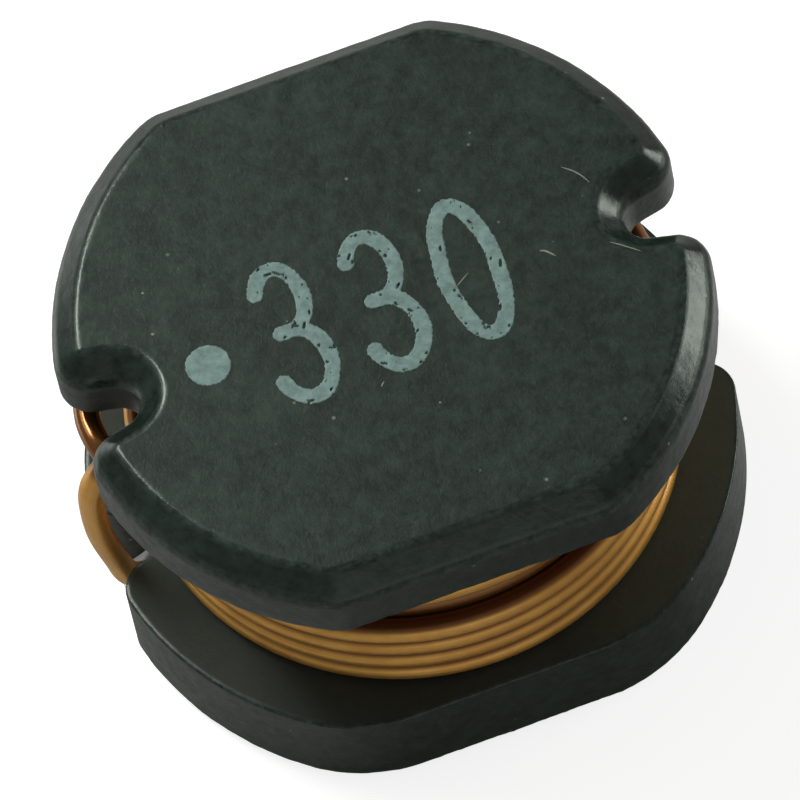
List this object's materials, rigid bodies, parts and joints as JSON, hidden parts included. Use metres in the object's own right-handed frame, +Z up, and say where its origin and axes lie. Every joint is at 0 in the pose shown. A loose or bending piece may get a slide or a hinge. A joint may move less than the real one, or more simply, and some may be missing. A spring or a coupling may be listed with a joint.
{
  "type": "smd power inductor",
  "caption": "Open surface-mount power inductor: enamelled copper wire wound on a notched ferrite drum core, leads soldered to flat terminals underneath.",
  "frame": {"origin": "centre of the seating plane, on the axis of the drum core", "axes": "+Z up, along the axis of the winding; +X along the length, through the two notches"},
  "size_m": [0.0079, 0.007, 0.005],
  "materials": {
    "ferrite": "dark grey sintered ferrite, lightly ground, semi-matt",
    "enamelled_copper": "golden orange clear-enamelled copper wire",
    "tin_plate": "dull tin plating",
    "solder": "bright solder fillet"
  },
  "bodies": {
    "root": {"ferrite_core": "ferrite", "copper_winding": "enamelled_copper", "terminal_left": "tin_plate", "terminal_right": "tin_plate", "solder_left": "solder", "solder_right": "solder"}
  },
  "joints": []
}
